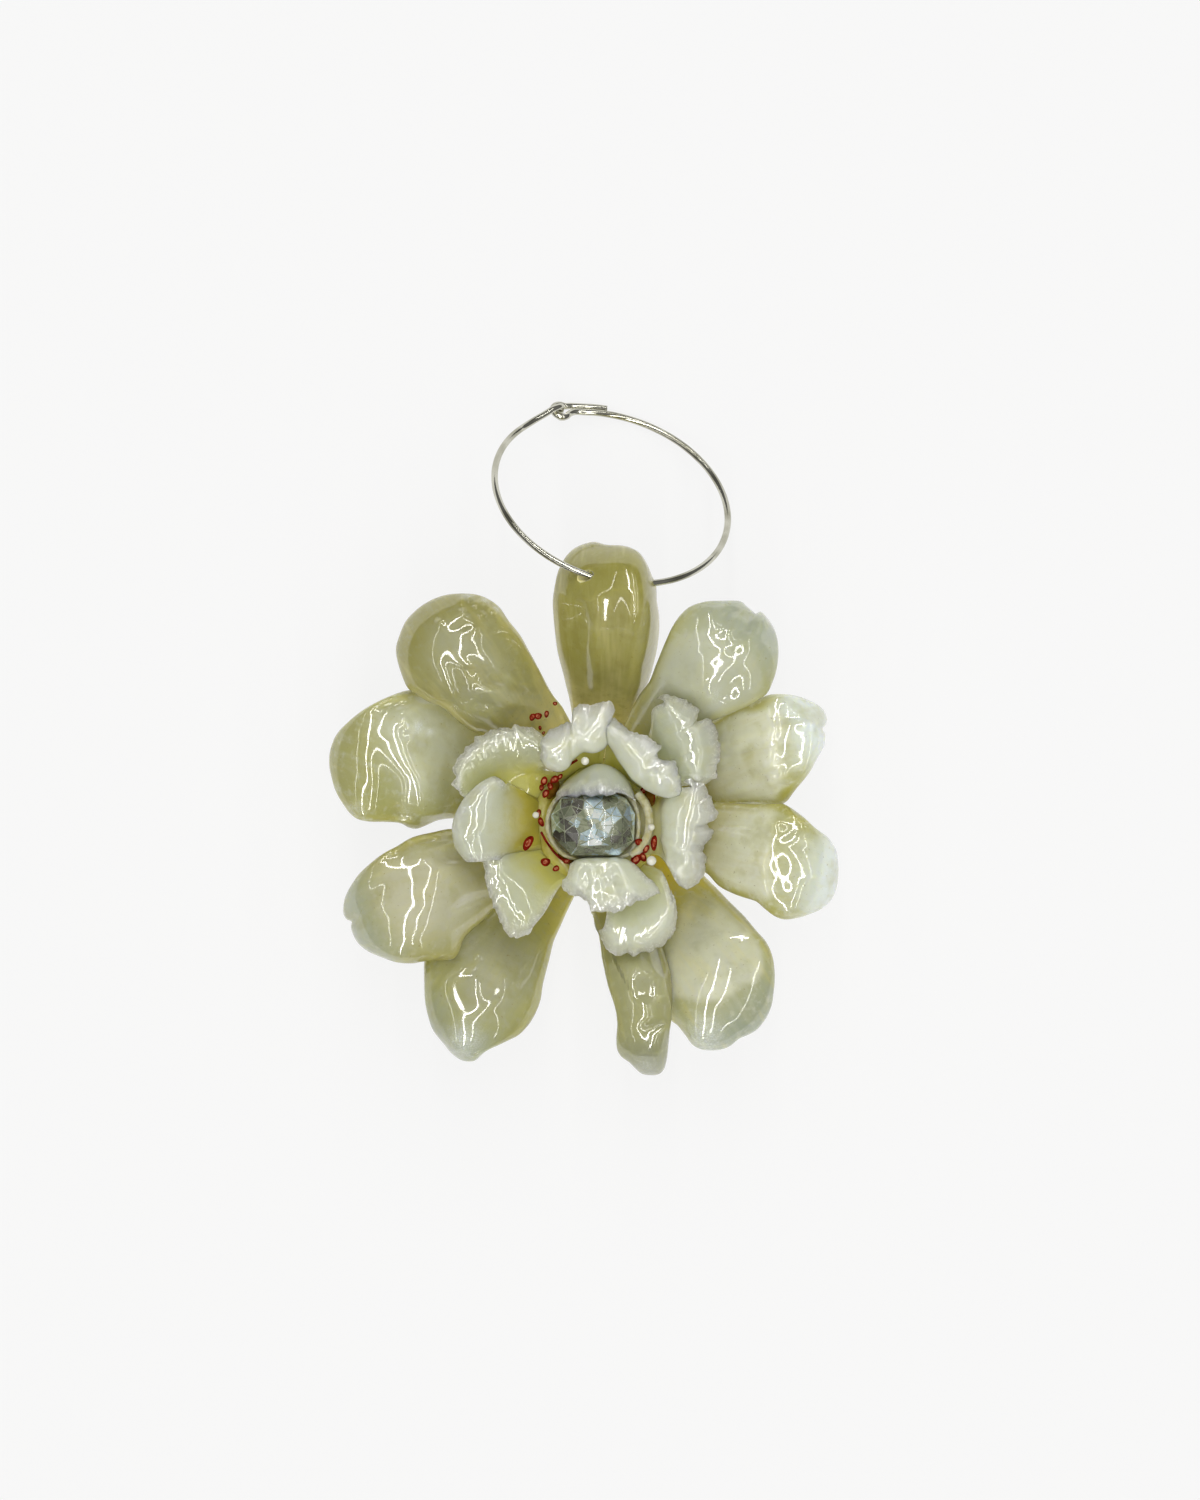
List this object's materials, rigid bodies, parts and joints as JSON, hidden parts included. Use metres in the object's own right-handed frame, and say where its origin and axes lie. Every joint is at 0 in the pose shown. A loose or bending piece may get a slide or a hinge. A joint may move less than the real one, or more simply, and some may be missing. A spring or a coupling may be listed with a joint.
{
  "type": "flower hoop earring",
  "caption": "Resin-dipped flower charm with frilled inner petals, beaded stamens and a faceted crystal, hung by its top petal on a thin round wire ear hoop.",
  "frame": {"origin": "middle of the flat cut under the receptacle, on the bloom's axis, at the surface that the charm lies on", "axes": "+Z out of the bloom's face, +Y from its middle towards the petal that the hoop goes through, +X to the right with the bloom facing the viewer"},
  "size_m": [0.0532, 0.0704, 0.0216],
  "materials": {
    "resin_olive": "clear glossy resin over an olive-yellow petal",
    "resin_pale": "clear glossy resin over a pale cream-green petal",
    "resin_ivory": "clear glossy resin over an ivory petal",
    "resin_clear": "clear cast resin",
    "crystal": "faceted and polished, foiled behind",
    "bead_red": "glossy dark red",
    "silver": "polished silver wire"
  },
  "bodies": {
    "flower": {"receptacle": "resin_olive", "petal_top": "resin_olive", "petal_upper_left": "resin_olive", "petal_left": "resin_olive", "petal_lower_left": "resin_olive", "petal_bottom_left": "resin_pale", "petal_bottom": "resin_pale", "petal_bottom_right": "resin_pale", "petal_right_lower": "resin_pale", "petal_right_upper": "resin_pale", "petal_upper_right": "resin_pale", "frill_upper_left": "resin_ivory", "frill_lower_left": "resin_ivory", "frill_bottom_right": "resin_ivory", "frill_upper_right": "resin_ivory", "frill_left": "resin_ivory", "frill_right": "resin_ivory", "frill_top_left": "resin_ivory", "frill_top_right": "resin_ivory", "frill_bottom": "resin_ivory", "bud_petal": "resin_ivory", "crystal": "crystal", "collar": "resin_clear", "stamens": "bead_red"},
    "hoop": {"ear_hoop": "silver"}
  },
  "joints": [
    {"name": "hoop_swing", "type": "hinge", "parent": "flower", "child": "hoop", "pos_m": [0.00276, 0.02505, 0.01797], "axis": [0.9651, -0.0997, -0.2421], "range_deg": [-60, 175]}
  ]
}
